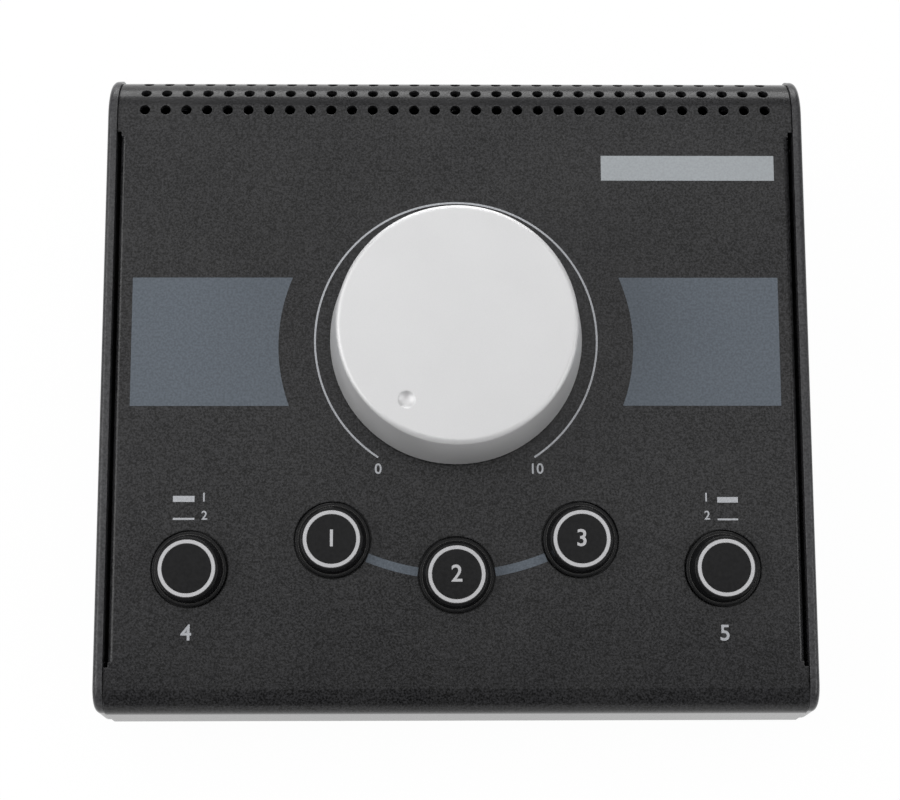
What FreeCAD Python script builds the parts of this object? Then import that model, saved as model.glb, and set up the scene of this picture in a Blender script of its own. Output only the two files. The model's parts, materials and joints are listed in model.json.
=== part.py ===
import FreeCAD, Part
import math
import os
import Sketcher

# Desktop studio monitor controller: a folded steel cover with a sloped panel, a large
# aluminium volume knob, five round push buttons, two side cheeks and a row of jacks behind.
#
# Object frame: X to the right, Y to the rear, Z up, origin under the middle at table level.
# Panel frame: u along X, v up the slope, w out of the panel, origin on the knob's axis
# at the panel's outer face.

os.makedirs("parts", exist_ok=True)
doc = FreeCAD.newDocument("MonitorController")

# Driving sizes, in millimetres and degrees.
driving_sizes = [
    # case
    ("case_width", 142.0, "width over the two cheeks"),
    ("knob_to_front", 72.1, "knob axis to the cover's front face"),
    ("knob_to_rear", 56.7, "knob axis to the cover's rear lip"),
    ("panel_height", 40.7, "panel's outer face above the table, at the knob"),
    ("slope", 10.0, "rise of the panel toward the rear"),
    ("case_lift", 5.0, "lower edge of the case above the table"),
    ("sheet_wall", 1.2, "steel sheet of the cover, tray and rear panel"),
    ("nose_height", 13.2, "lower end of the front face above the table"),
    ("nose_roll", 2.0, "outer radius of the bend at the nose"),
    ("undercut", 45.0, "lean of the face under the nose"),
    ("front_roll", 5.0, "outer radius of the cover's front bend"),
    ("rear_roll", 9.0, "outer radius of the cover's rear bend"),
    ("bend_inside", 0.6, "inner radius of the sharp sheet bends"),
    ("lip_depth", 10.0, "lips under the tray, front and rear"),
    ("rear_lip", 4.5, "straight part of the cover's rear lip"),
    ("sheet_gap", 0.3, "gap between sheets that do not touch"),
    # cheeks
    ("cheek_wall", 2.0, "thickness of a cheek"),
    ("cheek_proud", 0.45, "cheek's edge above the panel and behind the rear lip"),
    ("cheek_set_back", 0.3, "cheek's edge behind the front face"),
    ("cheek_front_roll", 5.5, "front rounding of a cheek"),
    ("cheek_round", 1.2, "rounding of a cheek's outer edge"),
    ("cheek_corner", 2.0, "lower corners of a cheek"),
    ("cheek_nose", 5.0, "rounding of a cheek's nose"),
    ("cover_side_gap", 0.1, "cover's edge to the cheek"),
    ("tray_side", 9.8, "height of the tray's side walls"),
    ("cheek_screw_inset", 18.0, "outer cheek screws from the tray's ends"),
    # cover side flanges and slots
    ("slot_width", 0.75, "slot between flange and cheek"),
    ("slot_front", 64.75, "slot's front end ahead of the knob axis"),
    ("slot_back", 43.2, "slot's rear end behind the knob axis"),
    ("flange_bend_inside", 0.15, "inner radius of the cover's side bend"),
    ("flange_drop", 8.0, "depth of the cover's side flanges"),
    ("relief_width", 1.0, "bend relief at each end of a flange"),
    ("relief_reach", 0.25, "bend relief past the flange's outer face"),
    # vents
    ("vent_count", 31.0, "holes in a row"),
    ("vent_rows", 3.0, "rows over the rear bend"),
    ("vent_margin", 5.465, "outer holes of a row from the cover's edge"),
    ("vent_radius", 1.05, "radius of a vent hole"),
    ("vent_first", 1.0, "first row past the start of the rear bend"),
    # volume knob
    ("knob_radius", 25.2, "knob at its lower edge"),
    ("knob_top_radius", 23.1, "knob at its top edge, before rounding"),
    ("knob_gap", 1.0, "knob's lower edge above the panel"),
    ("knob_height", 17.3, "height of the knob itself"),
    ("knob_edge", 1.0, "rounding of the knob's top edge"),
    ("knob_lower_edge", 0.3, "rounding of the knob's lower edge"),
    ("knob_hollow", 17.0, "radius of the hollow over the nut"),
    ("knob_roof", 3.5, "metal over the shaft bore"),
    ("dimple_place", 17.6, "pointer dimple from the knob's axis"),
    ("dimple_radius", 1.7, "radius of the pointer dimple"),
    ("dimple_depth", 0.7, "depth of the pointer dimple"),
    ("stop_angle", 33.3, "each end of travel, from straight toward the front"),
    ("grub_radius", 1.45, "knob's set screw"),
    ("grub_length", 6.0, "length of the set screw"),
    ("grub_drive", 0.85, "hex drive of the set screw, centre to corner"),
    # potentiometer
    ("shaft_radius", 3.0, "potentiometer shaft"),
    ("shaft_fit", 0.05, "radial clearance of the shaft"),
    ("shaft_flat", 1.5, "flat of the shaft from its axis"),
    ("shaft_end_gap", 0.5, "free room at both ends of the shaft"),
    ("shaft_depth", 9.0, "shaft below the panel"),
    ("bushing_radius", 4.5, "threaded bushing of pot and jacks"),
    ("bushing_fit", 0.1, "radial clearance of a bushing in sheet"),
    ("bushing_stand", 5.6, "pot bushing above the panel"),
    ("hub_gap", 2.4, "knob hub above the bushing"),
    ("pot_width", 24.4, "square housing of the potentiometer"),
    ("pot_nut_flats", 12.0, "pot nut across flats"),
    ("pot_nut_height", 2.2, "pot nut"),
    ("washer_radius", 7.8, "pot washer"),
    ("washer_height", 0.6, "pot washer"),
    # push buttons
    ("button_circle", 46.9, "centre buttons from the knob's axis"),
    ("button_angle", 31.4, "angle between the centre buttons"),
    ("select_inset", 18.5, "outer buttons from the sides of the case"),
    ("select_front", 45.7, "outer buttons ahead of the knob"),
    ("cap_radius", 7.35, "button cap where it leaves the panel"),
    ("cap_gap", 0.3, "cap to the panel hole, all round"),
    ("cap_ledge", 0.7, "height of the cap's lower ledge"),
    ("cap_waist", 6.75, "cap wall just above the ledge"),
    ("cap_top_radius", 6.15, "cap wall at its top"),
    ("cap_height", 4.0, "cap top above the panel"),
    ("cap_edge", 0.35, "rounding of the cap's top edge"),
    ("cap_ledge_edge", 0.25, "rounding of the cap's ledge"),
    ("cap_flange", 0.85, "retaining flange past the panel hole"),
    ("cap_flange_height", 1.1, "retaining flange"),
    ("cap_wall", 1.1, "wall of the cap's skirt"),
    ("ring_outer", 5.6, "white ring in the cap"),
    ("ring_width", 0.77, "white ring in the cap"),
    ("ring_depth", 0.9, "groove of the white ring"),
    ("ring_fit", 0.03, "clearance of the ring in its groove"),
    ("ring_proud", 0.04, "ring above the cap"),
    ("stem_radius", 3.0, "stem under the cap"),
    ("stem_gap", 1.0, "stem to switch with the button down"),
    ("socket_depth", 4.5, "square socket in the stem"),
    ("socket_fit", 0.05, "clearance of the socket on the plunger"),
    ("button_travel", 2.5, "stroke of a button"),
    ("plunger_width", 3.3, "square plunger"),
    ("plunger_foot", 5.0, "square foot of the plunger"),
    ("plunger_foot_height", 1.5, "foot of the plunger"),
    ("plunger_gap", 0.2, "sliding clearance of the plunger"),
    ("switch_width", 8.5, "switch housing"),
    ("switch_height", 7.0, "switch housing above the board"),
    ("switch_roof", 1.0, "roof and floor of the switch housing"),
    # boards
    ("board_depth", 16.0, "control board's top under the panel face"),
    ("board_wall", 1.6, "thickness of both boards"),
    ("board_side_gap", 3.05, "control board to the cover's flange"),
    ("board_margin", 8.55, "control board ahead of the outer switches"),
    ("board_back_gap", 4.4, "control board to the jack board"),
    ("standoff_inset", 3.7, "standoffs from the control board's edges"),
    ("standoff_flats", 5.5, "hex standoffs across flats"),
    ("standoff_bore_depth", 9.0, "threaded bore of a standoff"),
    ("header_width", 15.0, "ribbon headers"),
    ("header_height", 6.0, "ribbon headers"),
    ("header_depth", 5.0, "ribbon headers"),
    ("header_place", 4.0, "upper header behind the knob's axis"),
    ("ribbon_width", 12.7, "flat ribbon cable"),
    ("ribbon_wall", 0.9, "flat ribbon cable"),
    ("ribbon_bend", 2.2, "middle of the ribbon's bend"),
    ("ribbon_drop", 4.0, "lower header under the mouth of the upper one"),
    # jacks
    ("jack_bore", 3.25, "radius of a 6.35 mm jack's bore"),
    ("jack_bore_depth", 31.5, "depth of that bore"),
    ("jack_width", 14.0, "jack housing"),
    ("jack_body_height", 11.6, "jack housing"),
    ("jack_depth", 27.0, "jack housing behind the rear panel"),
    ("jack_stand", 4.5, "jack bushings outside the rear panel"),
    ("mouth_bevel", 0.3, "bevels of a jack's mouth"),
    ("jack_near", 17.0, "inner jack columns from the middle"),
    ("jack_inset", 28.0, "outer jack columns from the sides of the case"),
    ("jack_floor_gap", 0.35, "lower jacks above the tray"),
    ("jack_row_gap", 0.6, "between the two rows of jacks"),
    ("jack_nut_flats", 11.0, "jack nuts across flats"),
    ("jack_nut_height", 2.2, "jack nuts"),
    ("mini_bore", 1.8, "radius of the 3.5 mm jack's bore"),
    ("mini_bore_depth", 15.5, "depth of that bore"),
    ("mini_bushing", 3.0, "bushing of the 3.5 mm jack"),
    ("mini_width", 9.0, "3.5 mm jack housing"),
    ("mini_depth", 14.0, "3.5 mm jack housing behind the rear panel"),
    ("mini_nut_flats", 8.0, "nut of the 3.5 mm jack"),
    ("jack_board_margin", 2.0, "jack board past the upper and outer jacks"),
    ("jack_board_lift", 1.0, "jack board above the tray"),
    # screws and feet
    ("screw_radius", 1.45, "shank of an M3 screw"),
    ("screw_head", 2.75, "radius of a screw head"),
    ("screw_head_height", 0.9, "height of a screw head"),
    ("screw_length", 4.6, "shank under the head"),
    ("screw_drive", 1.15, "hex drive, centre to corner"),
    ("screw_drive_depth", 0.9, "hex drive"),
    ("tapped_gap", 0.05, "shank to a tapped hole"),
    ("through_gap", 0.25, "shank to a through hole"),
    ("countersink_gap", 0.05, "countersunk head to its seat"),
    ("screw_inset", 14.0, "outer base and rear screws from the sides of the case"),
    ("foot_radius", 6.5, "rubber foot"),
    ("foot_edge", 0.8, "rounding of a foot's lower edge"),
    ("foot_side_inset", 17.0, "feet from the sides of the case"),
    ("foot_inset", 20.0, "feet from the lower edge in front and from the rear lip"),
]

sheet = doc.addObject("Spreadsheet::Sheet", "Sizes")
for row, (alias, number, meaning) in enumerate(driving_sizes, start=1):
    sheet.set(f"A{row}", meaning)
    sheet.set(f"B{row}", str(number))
    sheet.setAlias(f"B{row}", alias)
doc.recompute()


class Size:
    # A size of the sheet, or a formula of them: its text binds a property, its value places a start.
    def __init__(self, text, value):
        self.text = text
        self.value = value

    def __add__(self, other):
        other = as_size(other)
        return Size(f"({self.text} + {other.text})", self.value + other.value)

    def __sub__(self, other):
        other = as_size(other)
        return Size(f"({self.text} - {other.text})", self.value - other.value)

    def __mul__(self, other):
        other = as_size(other)
        return Size(f"({self.text} * {other.text})", self.value * other.value)

    def __truediv__(self, other):
        other = as_size(other)
        return Size(f"({self.text} / {other.text})", self.value / other.value)

    def __neg__(self):
        return Size(f"(0 - {self.text})", -self.value)

    def __radd__(self, other):
        return as_size(other) + self

    def __rsub__(self, other):
        return as_size(other) - self

    def __rmul__(self, other):
        return as_size(other) * self


def as_size(number):
    if isinstance(number, Size):
        return number
    return Size(f"({float(number)})", float(number))


def sine(angle):
    return Size(f"sin({angle.text})", math.sin(math.radians(angle.value)))


def cosine(angle):
    return Size(f"cos({angle.text})", math.cos(math.radians(angle.value)))


def tangent(angle):
    return Size(f"tan({angle.text})", math.tan(math.radians(angle.value)))


class Sheet:
    # Every driving size under its own name.
    pass


size = Sheet()
for alias, number, meaning in driving_sizes:
    setattr(size, alias, Size(f"Sizes.{alias}", float(sheet.get(alias))))

zero = as_size(0)

# Places that follow from the driving sizes.
rise = tangent(size.slope)
up_slope = cosine(size.slope)
off_slope = sine(size.slope)

overall_depth = size.knob_to_front + size.knob_to_rear + size.jack_stand - size.sheet_wall
front_y = -overall_depth / 2
knob_y = front_y + size.knob_to_front
rear_y = knob_y + size.knob_to_rear

# The panel's plane meets the front and rear faces at two unrounded corners.
front_corner_z = size.panel_height - size.knob_to_front * rise
rear_corner_z = size.panel_height + size.knob_to_rear * rise
front_tangent = size.front_roll * tangent((90 - size.slope) / 2)
rear_tangent = size.rear_roll * tangent((90 + size.slope) / 2)
front_roll_v = front_tangent - size.knob_to_front / up_slope
rear_roll_v = size.knob_to_rear / up_slope - rear_tangent
front_roll_z = front_corner_z - front_tangent
rear_roll_z = rear_corner_z - rear_tangent
rear_lip_z = rear_roll_z - size.rear_lip

# Under the nose the front leans back to the toe, where the bottom starts.
toe_y = front_y + (size.nose_height - size.case_lift) * tangent(size.undercut)

cheek_inner = size.case_width / 2 - size.cheek_wall
cover_half = cheek_inner - size.cover_side_gap
bend_outside = size.bend_inside + size.sheet_wall
tray_bottom = size.case_lift + size.sheet_wall
tray_top = tray_bottom + size.sheet_wall
rear_panel_y = rear_y - size.sheet_wall
rear_panel_inner = rear_panel_y - size.sheet_wall
tray_front = toe_y + bend_outside + size.sheet_gap
tray_back = rear_panel_y - bend_outside - size.sheet_gap

tapped_radius = size.screw_radius + size.tapped_gap
through_radius = size.screw_radius + size.through_gap
lip_screw_front = toe_y + (size.lip_depth + bend_outside) / 2
lip_screw_back = rear_panel_y - (size.lip_depth + bend_outside) / 2
rear_screw_z = rear_lip_z + size.rear_lip / 2
cheek_screw_z = tray_bottom + (bend_outside + size.tray_side) / 2

vent_side = cover_half - size.vent_margin
vent_pitch = vent_side * 2 / (size.vent_count - 1)

flange_outer = cheek_inner - size.slot_width
flange_bend = size.flange_bend_inside + size.sheet_wall
flange_start = flange_outer - flange_bend
relief_start = flange_outer - size.relief_reach

board_top = -size.board_depth
board_bottom = board_top - size.board_wall
board_half = flange_outer - size.sheet_wall - size.board_side_gap
board_front = -(size.select_front + size.switch_width / 2 + size.board_margin)
jack_board_back = rear_panel_inner - size.jack_depth
jack_board_front = jack_board_back - size.board_wall
board_back_reach = jack_board_front - size.board_back_gap - knob_y
board_back = (board_back_reach + board_bottom * off_slope) / up_slope

switch_top = board_top + size.switch_height
stem_bottom = switch_top + size.button_travel + size.stem_gap
socket_top = stem_bottom + size.socket_depth
foot_of_plunger_top = switch_top - size.switch_roof - size.plunger_gap
foot_of_plunger = foot_of_plunger_top - size.plunger_foot_height
button_hole = size.cap_radius + size.cap_gap

knob_top = size.knob_gap + size.knob_height
hub_bottom = size.bushing_stand + size.hub_gap
hub_bore_top = knob_top - size.knob_roof
grub_w = (hub_bottom + hub_bore_top) / 2

jack_far = size.case_width / 2 - size.jack_inset
jack_low_z = tray_top + size.jack_floor_gap + size.jack_body_height / 2
jack_high_z = jack_low_z + size.jack_body_height + size.jack_row_gap
jack_middle_z = (jack_low_z + jack_high_z) / 2

spread_u = size.button_circle * sine(size.button_angle)
spread_v = size.button_circle * cosine(size.button_angle)
select_side = size.case_width / 2 - size.select_inset
button_places = {
    "mono": (-spread_u, -spread_v),
    "mute": (zero, -size.button_circle),
    "dim": (spread_u, -spread_v),
    "source_select": (-select_side, -size.select_front),
    "monitor_select": (select_side, -size.select_front),
}
foot_side = size.case_width / 2 - size.foot_side_inset
screw_side = size.case_width / 2 - size.screw_inset
screw_sides = [-screw_side, zero, screw_side]


# Helpers that tie objects to the sheet.

def bind(thing, name, number):
    thing.setExpression(name, number.text)


def put(thing, x, y, z, axis=(1, 0, 0), angle=zero):
    spot = FreeCAD.Vector(x.value, y.value, z.value)
    turn = FreeCAD.Rotation(FreeCAD.Vector(*axis), angle.value)
    thing.Placement = FreeCAD.Placement(spot, turn)
    bind(thing, "Placement.Base.x", x)
    bind(thing, "Placement.Base.y", y)
    bind(thing, "Placement.Base.z", z)
    bind(thing, "Placement.Rotation.Angle", angle)


def to_panel(y, z):
    ahead = y - knob_y
    above = z - size.panel_height
    return ahead * up_slope + above * off_slope, above * up_slope - ahead * off_slope


def from_panel(v, w):
    return knob_y + v * up_slope - w * off_slope, size.panel_height + v * off_slope + w * up_slope


def put_on_panel(thing, u, v, w, turned=zero):
    y, z = from_panel(v, w)
    put(thing, u, y, z, angle=size.slope + turned)


def new_body(label):
    body = doc.addObject("PartDesign::Body", label)
    body.Label = label
    return body


def origin_plane(body, role):
    for feature in body.Origin.OriginFeatures:
        if feature.Role == role:
            return feature
    raise ValueError(role)


def new_sketch(body, name, role, x=zero, y=zero, z=zero, axis=(1, 0, 0), angle=zero):
    sketch = body.newObject("Sketcher::SketchObject", f"{body.Label}_{name}")
    sketch.AttachmentSupport = (origin_plane(body, role), [""])
    sketch.MapMode = "FlatFace"
    spot = FreeCAD.Vector(x.value, y.value, z.value)
    turn = FreeCAD.Rotation(FreeCAD.Vector(*axis), angle.value)
    sketch.AttachmentOffset = FreeCAD.Placement(spot, turn)
    bind(sketch, "AttachmentOffset.Base.x", x)
    bind(sketch, "AttachmentOffset.Base.y", y)
    bind(sketch, "AttachmentOffset.Base.z", z)
    bind(sketch, "AttachmentOffset.Rotation.Angle", angle)
    return sketch


def lock_point(sketch, edge, end, x, y):
    for kind, place in (("DistanceX", x), ("DistanceY", y)):
        number = sketch.addConstraint(Sketcher.Constraint(kind, -1, 1, edge, end, place.value))
        bind(sketch, f"Constraints[{number}]", place)


def lock_radius(sketch, edge, radius):
    number = sketch.addConstraint(Sketcher.Constraint("Radius", edge, radius.value))
    bind(sketch, f"Constraints[{number}]", radius)


def draw_circle(sketch, x, y, radius):
    circle = Part.Circle(FreeCAD.Vector(x.value, y.value, 0), FreeCAD.Vector(0, 0, 1), radius.value)
    edge = sketch.addGeometry(circle, False)
    lock_point(sketch, edge, 3, x, y)
    lock_radius(sketch, edge, radius)


def arc_between(start, end, radius, turns_left):
    # The minor arc from start to end; the curve itself always runs anticlockwise.
    chord = end - start
    middle = (start + end) * 0.5
    reach = math.sqrt(max(radius ** 2 - (chord.Length / 2) ** 2, 0.0))
    side = FreeCAD.Vector(-chord.y, chord.x, 0).normalize()
    if not turns_left:
        side = -side
        start, end = end, start
    centre = middle + side * reach
    first = math.atan2(start.y - centre.y, start.x - centre.x)
    last = math.atan2(end.y - centre.y, end.x - centre.x)
    return Part.ArcOfCircle(Part.Circle(centre, FreeCAD.Vector(0, 0, 1), radius), first, last)


def draw_outline(sketch, steps):
    # Each step is the point (x, y) that a line goes to, or (x, y, radius, "left" or "right")
    # for an arc. The outline closes from the last point to the first.
    corners = [FreeCAD.Vector(step[0].value, step[1].value, 0) for step in steps]
    edges = []
    for number, step in enumerate(steps):
        start = corners[number - 1]
        end = corners[number]
        if len(step) == 2:
            edges.append((sketch.addGeometry(Part.LineSegment(start, end), False), 1, 2))
            continue
        turns_left = step[3] == "left"
        arc = arc_between(start, end, step[2].value, turns_left)
        first, last = (1, 2) if turns_left else (2, 1)
        edges.append((sketch.addGeometry(arc, False), first, last))
    for number, (edge, first, last) in enumerate(edges):
        before, _, before_last = edges[number - 1]
        sketch.addConstraint(Sketcher.Constraint("Coincident", before, before_last, edge, first))
        lock_point(sketch, edge, last, steps[number][0], steps[number][1])
        if len(steps[number]) == 4:
            lock_radius(sketch, edge, steps[number][2])


def draw_box(sketch, x_low, x_high, y_low, y_high):
    draw_outline(sketch, [(x_low, y_low), (x_high, y_low), (x_high, y_high), (x_low, y_high)])


def draw_square(sketch, half):
    draw_box(sketch, -half, half, -half, half)


def draw_hexagon(sketch, x, y, corner_radius):
    turns = [as_size(60 * number) for number in range(6)]
    draw_outline(sketch, [(x + corner_radius * cosine(a), y + corner_radius * sine(a)) for a in turns])


def pad(body, sketch, length, side="One side", reverse=False):
    feature = body.newObject("PartDesign::Pad", f"{sketch.Label}_pad")
    feature.Profile = sketch
    bind(feature, "Length", length)
    feature.SideType = side
    feature.Reversed = reverse
    doc.recompute()
    return feature


def pocket(body, sketch, length, reverse=False):
    before = body.Shape.Volume
    feature = body.newObject("PartDesign::Pocket", f"{sketch.Label}_pocket")
    feature.Profile = sketch
    bind(feature, "Length", length)
    feature.Reversed = reverse
    doc.recompute()
    if body.Shape.Volume >= before:
        raise ValueError(f"{feature.Label} cuts nothing")
    return feature


def revolve(body, sketch):
    feature = body.newObject("PartDesign::Revolution", f"{sketch.Label}_turned")
    feature.Profile = sketch
    feature.ReferenceAxis = (sketch, ["V_Axis"])
    feature.Angle = 360
    doc.recompute()
    return feature


def repeat_row(body, feature, sketch, pitch, count):
    before = body.Shape.Volume
    row = body.newObject("PartDesign::LinearPattern", f"{feature.Label}_row")
    row.Originals = [feature]
    row.Direction = (sketch, ["H_Axis"])
    row.Mode = "Spacing"
    bind(row, "Offset", pitch)
    bind(row, "Occurrences", count)
    body.Tip = row
    doc.recompute()
    if body.Shape.Volume >= before:
        raise ValueError(f"{row.Label} cuts nothing")


def mirror(body, features):
    twin = body.newObject("PartDesign::Mirrored", f"{body.Label}_mirrored")
    twin.Originals = features
    twin.MirrorPlane = (origin_plane(body, "YZ_Plane"), [""])
    body.Tip = twin
    doc.recompute()


def round_edges(body, test, radius, name):
    names = edge_names(body, test)
    base = body.Tip
    feature = body.newObject("PartDesign::Fillet", f"{body.Label}_{name}")
    feature.Base = (base, names)
    bind(feature, "Radius", radius)
    doc.recompute()


def bevel_edges(body, test, depth, name):
    names = edge_names(body, test)
    base = body.Tip
    feature = body.newObject("PartDesign::Chamfer", f"{body.Label}_{name}")
    feature.Base = (base, names)
    bind(feature, "Size", depth)
    doc.recompute()


def edge_names(body, test):
    names = []
    for number, edge in enumerate(body.Tip.Shape.Edges, start=1):
        if test(edge):
            names.append(f"Edge{number}")
    if not names:
        raise ValueError(f"no such edge on {body.Label}")
    return names


close_enough = 0.001


def is_circle(edge, radius):
    return isinstance(edge.Curve, Part.Circle) and abs(edge.Curve.Radius - radius.value) < close_enough


def lies_at(edge, axis, place):
    return all(abs(getattr(vertex, axis) - place.value) < close_enough for vertex in edge.Vertexes)


def circle_at(radius, axis, place):
    return lambda edge: is_circle(edge, radius) and lies_at(edge, axis, place)


# Part primitives and booleans.

def primitive(kind, name, **sizes):
    thing = doc.addObject(f"Part::{kind}", name)
    for key, number in sizes.items():
        bind(thing, key, number)
    return thing


def box(name, x_low, x_high, y_low, y_high, z_low, z_high):
    block = primitive("Box", name, Length=x_high - x_low, Width=y_high - y_low, Height=z_high - z_low)
    put(block, x_low, y_low, z_low)
    return block


def cylinder(name, radius, bottom, top):
    rod = primitive("Cylinder", name, Radius=radius, Height=top - bottom)
    put(rod, zero, zero, bottom)
    return rod


def hexagon(name, corner_radius, bottom, top):
    prism = doc.addObject("Part::Prism", name)
    prism.Polygon = 6
    bind(prism, "Circumradius", corner_radius)
    bind(prism, "Height", top - bottom)
    put(prism, zero, zero, bottom)
    return prism


def cut(label, base, tool):
    result = doc.addObject("Part::Cut", label)
    result.Base = base
    result.Tool = tool
    return result


def fuse(label, first, second):
    result = doc.addObject("Part::Fuse", label)
    result.Base = first
    result.Tool = second
    return result


def group(label, things):
    result = doc.addObject("Part::Compound", label)
    result.Links = things
    result.Label = label
    return result


def hexagon_ring(name, flats, hole_radius, height):
    corner = flats / 2 / cosine(as_size(30))
    blank = hexagon(f"{name}_hexagon", corner, zero, height)
    bore = cylinder(f"{name}_bore", hole_radius, -height, height * 2)
    return cut(name, blank, bore)


def screw(name, countersunk):
    # The head's top is at z = 0 and the shank points down.
    under_head = -size.screw_head_height
    tip = under_head - size.screw_length
    if countersunk:
        head = primitive(
            "Cone", f"{name}_head", Radius1=size.screw_radius, Radius2=size.screw_head,
            Height=size.screw_head - size.screw_radius)
        put(head, zero, zero, size.screw_radius - size.screw_head)
        shank = cylinder(f"{name}_shank", size.screw_radius, tip, zero)
    else:
        head = cylinder(f"{name}_head", size.screw_head, under_head, zero)
        shank = cylinder(f"{name}_shank", size.screw_radius, tip, under_head / 2)
    solid = fuse(f"{name}_solid", head, shank)
    drive = hexagon(f"{name}_drive", size.screw_drive, -size.screw_drive_depth, size.screw_drive_depth)
    return cut(name, solid, drive)


subparts = []


def keep(thing):
    subparts.append(thing)
    return thing


# Case.

def front_corners(set_back, toe_round, nose_round):
    # Where the bends of the toe and the nose start and end, going up, for an outline set back
    # from the cover's. The toe starts at the bottom and the nose ends on the front.
    lean_y = sine(size.undercut)
    lean_z = cosine(size.undercut)
    toe = toe_y + set_back / lean_z
    nose = size.nose_height + set_back * tangent(size.undercut / 2)
    toe_reach = toe_round * tangent((90 - size.undercut) / 2)
    nose_reach = nose_round * tangent(size.undercut / 2)
    toe_end = (toe - toe_reach * lean_y, size.case_lift + toe_reach * lean_z)
    nose_start = (front_y + set_back + nose_reach * lean_y, nose - nose_reach * lean_z)
    return toe + toe_reach, toe_end, nose_start, nose + nose_reach


def make_top_cover():
    cover = new_body("top_cover")
    put_on_panel(cover, zero, zero, zero)
    wall = size.sheet_wall
    lip_end = toe_y + size.lip_depth
    bottom = size.case_lift
    lean_y = sine(size.undercut)
    lean_z = cosine(size.undercut)
    toe_start, toe_end, nose_start, nose_end = front_corners(zero, bend_outside, size.nose_roll)
    profile = new_sketch(cover, "profile", "YZ_Plane")
    draw_outline(profile, [
        to_panel(lip_end, bottom),
        to_panel(toe_start, bottom),
        (*to_panel(*toe_end), bend_outside, "right"),
        to_panel(*nose_start),
        (*to_panel(front_y, nose_end), size.nose_roll, "right"),
        to_panel(front_y, front_roll_z),
        (front_roll_v, zero, size.front_roll, "right"),
        (rear_roll_v, zero),
        (*to_panel(rear_y, rear_roll_z), size.rear_roll, "right"),
        to_panel(rear_y, rear_lip_z),
        to_panel(rear_panel_y, rear_lip_z),
        to_panel(rear_panel_y, rear_roll_z),
        (rear_roll_v, -wall, size.rear_roll - wall, "left"),
        (front_roll_v, -wall),
        (*to_panel(front_y + wall, front_roll_z), size.front_roll - wall, "left"),
        to_panel(front_y + wall, nose_end),
        (*to_panel(nose_start[0] + wall * lean_z, nose_start[1] + wall * lean_y),
         size.nose_roll - wall, "left"),
        to_panel(toe_end[0] + wall * lean_z, toe_end[1] + wall * lean_y),
        (*to_panel(toe_start, bottom + wall), size.bend_inside, "left"),
        to_panel(lip_end, bottom + wall),
    ])
    pad(cover, profile, cover_half * 2, side="Symmetric")

    # The slot is a little wider past both ends of the flange.
    flange_back = size.slot_back - size.relief_width
    flange_front = size.relief_width - size.slot_front
    past_edge = cover_half + wall
    slot = new_sketch(cover, "slot", "XY_Plane")
    draw_outline(slot, [
        (relief_start, -size.slot_front),
        (past_edge, -size.slot_front),
        (past_edge, size.slot_back),
        (relief_start, size.slot_back),
        (relief_start, flange_back),
        (flange_start, flange_back),
        (flange_start, flange_front),
        (relief_start, flange_front),
    ])
    slot_cut = pocket(cover, slot, wall * 2)

    flange = new_sketch(cover, "flange", "XZ_Plane", z=-flange_back)
    draw_outline(flange, [
        (flange_start, -wall),
        (flange_outer - wall, -flange_bend, size.flange_bend_inside, "right"),
        (flange_outer - wall, -size.flange_drop),
        (flange_outer, -size.flange_drop),
        (flange_outer, -flange_bend),
        (flange_start, zero, flange_bend, "left"),
    ])
    flange_pad = pad(cover, flange, flange_back - flange_front)
    mirror(cover, [slot_cut, flange_pad])

    openings = new_sketch(cover, "panel_holes", "XY_Plane")
    draw_circle(openings, zero, zero, size.bushing_radius + size.bushing_fit)
    for u, v in button_places.values():
        draw_circle(openings, u, v, button_hole)
    pocket(cover, openings, wall * 2)

    lip_v, lip_w = to_panel(lip_screw_front, bottom)
    lip_holes = new_sketch(cover, "lip_holes", "XY_Plane", y=lip_v, z=lip_w, angle=180 - size.slope)
    for x in screw_sides:
        draw_circle(lip_holes, x, zero, through_radius)
    pocket(cover, lip_holes, wall * 2)

    rear_v, rear_w = to_panel(rear_y, rear_screw_z)
    rear_holes = new_sketch(
        cover, "rear_holes", "XY_Plane", y=rear_v, z=rear_w, angle=-(90 + size.slope))
    for x in screw_sides:
        draw_circle(rear_holes, x, zero, through_radius)
    pocket(cover, rear_holes, wall * 2)

    # Rows of vents follow the rear bend, square to the surface.
    for row_number in range(int(size.vent_rows.value)):
        along = size.vent_first + vent_pitch * row_number
        turned = along / size.rear_roll * (180 / math.pi)
        v = rear_roll_v + size.rear_roll * sine(turned)
        w = size.rear_roll * cosine(turned) - size.rear_roll
        vent = new_sketch(cover, f"vent_{row_number + 1}", "XY_Plane", y=v, z=w, angle=-turned)
        draw_circle(vent, -vent_side, zero, size.vent_radius)
        vent_cut = pocket(cover, vent, wall * 1.5)
        repeat_row(cover, vent_cut, vent, vent_pitch, size.vent_count)
    return keep(cover)


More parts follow.
